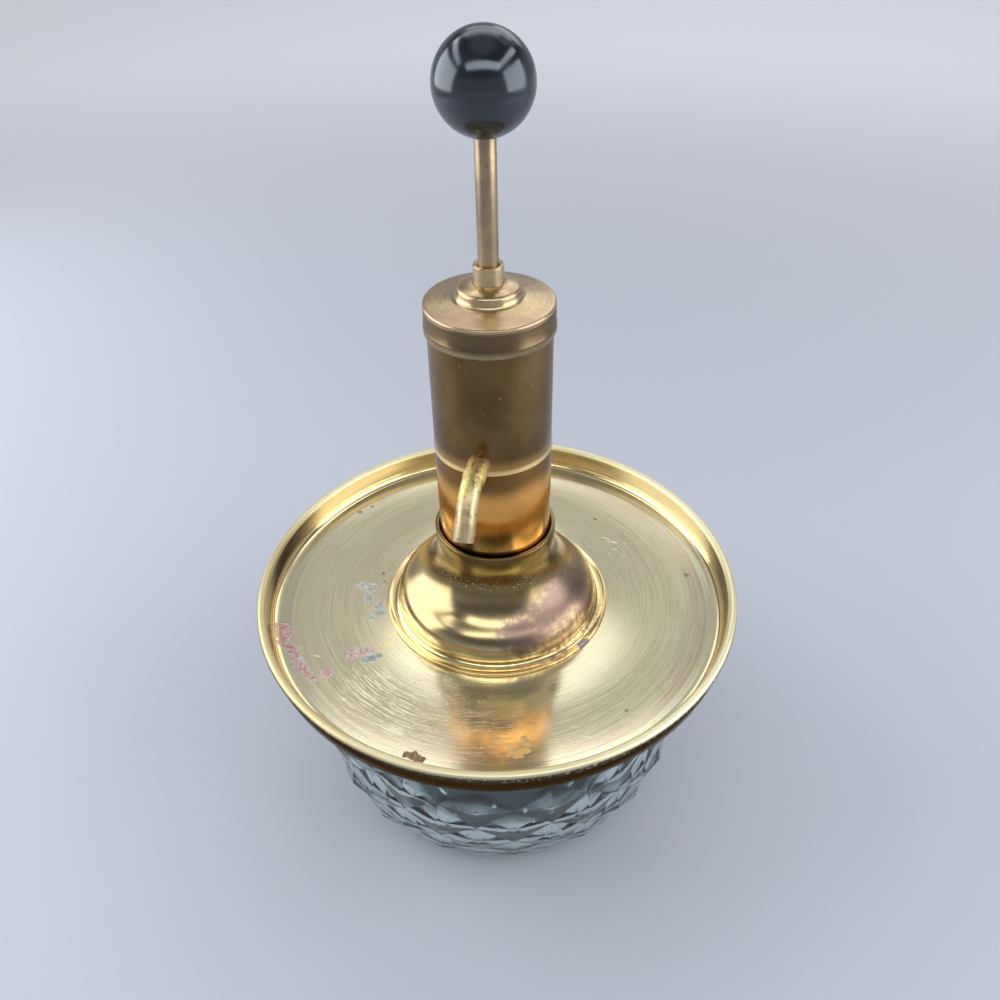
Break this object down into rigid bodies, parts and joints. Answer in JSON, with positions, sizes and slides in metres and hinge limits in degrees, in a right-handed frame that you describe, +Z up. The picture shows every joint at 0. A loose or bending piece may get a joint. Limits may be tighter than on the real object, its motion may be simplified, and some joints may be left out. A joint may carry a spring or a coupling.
{
  "type": "pump decanter",
  "caption": "Diamond-cut glass bowl with a screw-on brass lid, serving tray and hand pump: pressing the ball knob lifts a measure of drink to the spout.",
  "frame": {"origin": "centre of the glass bowl's foot, on the surface that it stands on", "axes": "+Z up along the pump's axis, the spout points to -Y, +X to the right when seen from the spout's side"},
  "size_m": [0.2, 0.2, 0.3265],
  "materials": {
    "bowl_glass": "clear cut glass with a faint green tint and small bubbles",
    "tray_brass": "pale lacquered brass, fine turning marks, spots of corrosion",
    "dome_brass": "polished spun brass, toned darker on the right",
    "lower_brass": "polished orange-gold brass tube",
    "upper_brass": "toned brown brass tube with long streaks",
    "cap_brass": "satin toned brass, mottled on top",
    "rod_brass": "aged brass, pitted",
    "turned_brass": "turned brass, as machined",
    "knob_plastic": "high gloss black",
    "seal_rubber": "matt black",
    "pump_leather": "oiled leather",
    "steel": "bright wire and pins"
  },
  "bodies": {
    "bowl": {"glass_bowl": "bowl_glass"},
    "gasket": {"bowl_gasket": "seal_rubber"},
    "lid": {"screw_cap": "turned_brass", "tray": "tray_brass", "dome_flange": "dome_brass", "foot_valve_body": "turned_brass", "barrel_gasket": "pump_leather", "ball_stop_pin": "steel", "dip_tube": "turned_brass", "sealing_washer": "seal_rubber", "mounting_washer": "turned_brass", "mounting_nut": "turned_brass", "lower_cylinder": "lower_brass", "upper_cylinder": "upper_brass", "spout": "rod_brass", "top_cap": "cap_brass", "guide_bush": "cap_brass", "spring_seat": "turned_brass", "return_spring": "steel"},
    "plunger": {"plunger_rod": "rod_brass", "ball_knob": "knob_plastic", "knob_insert": "turned_brass", "spring_collar": "turned_brass", "collar_pin": "steel", "piston_body": "turned_brass", "piston_cup": "pump_leather", "cup_retainer": "turned_brass", "piston_nut": "turned_brass", "flap_clip": "steel"},
    "flap_valve": {"piston_flap": "pump_leather"},
    "foot_valve_ball": {"inlet_ball": "steel"}
  },
  "joints": [
    {"name": "lid_lift", "type": "slide", "parent": "bowl", "child": "gasket", "axis": [0, 0, 1], "range_m": [0, 0.1]},
    {"name": "lid_turn", "type": "hinge", "parent": "gasket", "child": "lid", "pos_m": [0, 0, 0.1], "axis": [0, 0, 1], "range_deg": [0, 270]},
    {"name": "plunger_press", "type": "slide", "parent": "lid", "child": "plunger", "axis": [0, 0, -1], "range_m": [0, 0.0395], "stiffness_N_per_m": 250, "springref_m": -0.016, "deforming": ["return_spring"]},
    {"name": "flap_rise", "type": "slide", "parent": "plunger", "child": "flap_valve", "axis": [0, 0, 1], "range_m": [0, 0.0019]},
    {"name": "foot_ball_rise", "type": "slide", "parent": "lid", "child": "foot_valve_ball", "axis": [0, 0, 1], "range_m": [0, 0.0018]}
  ]
}
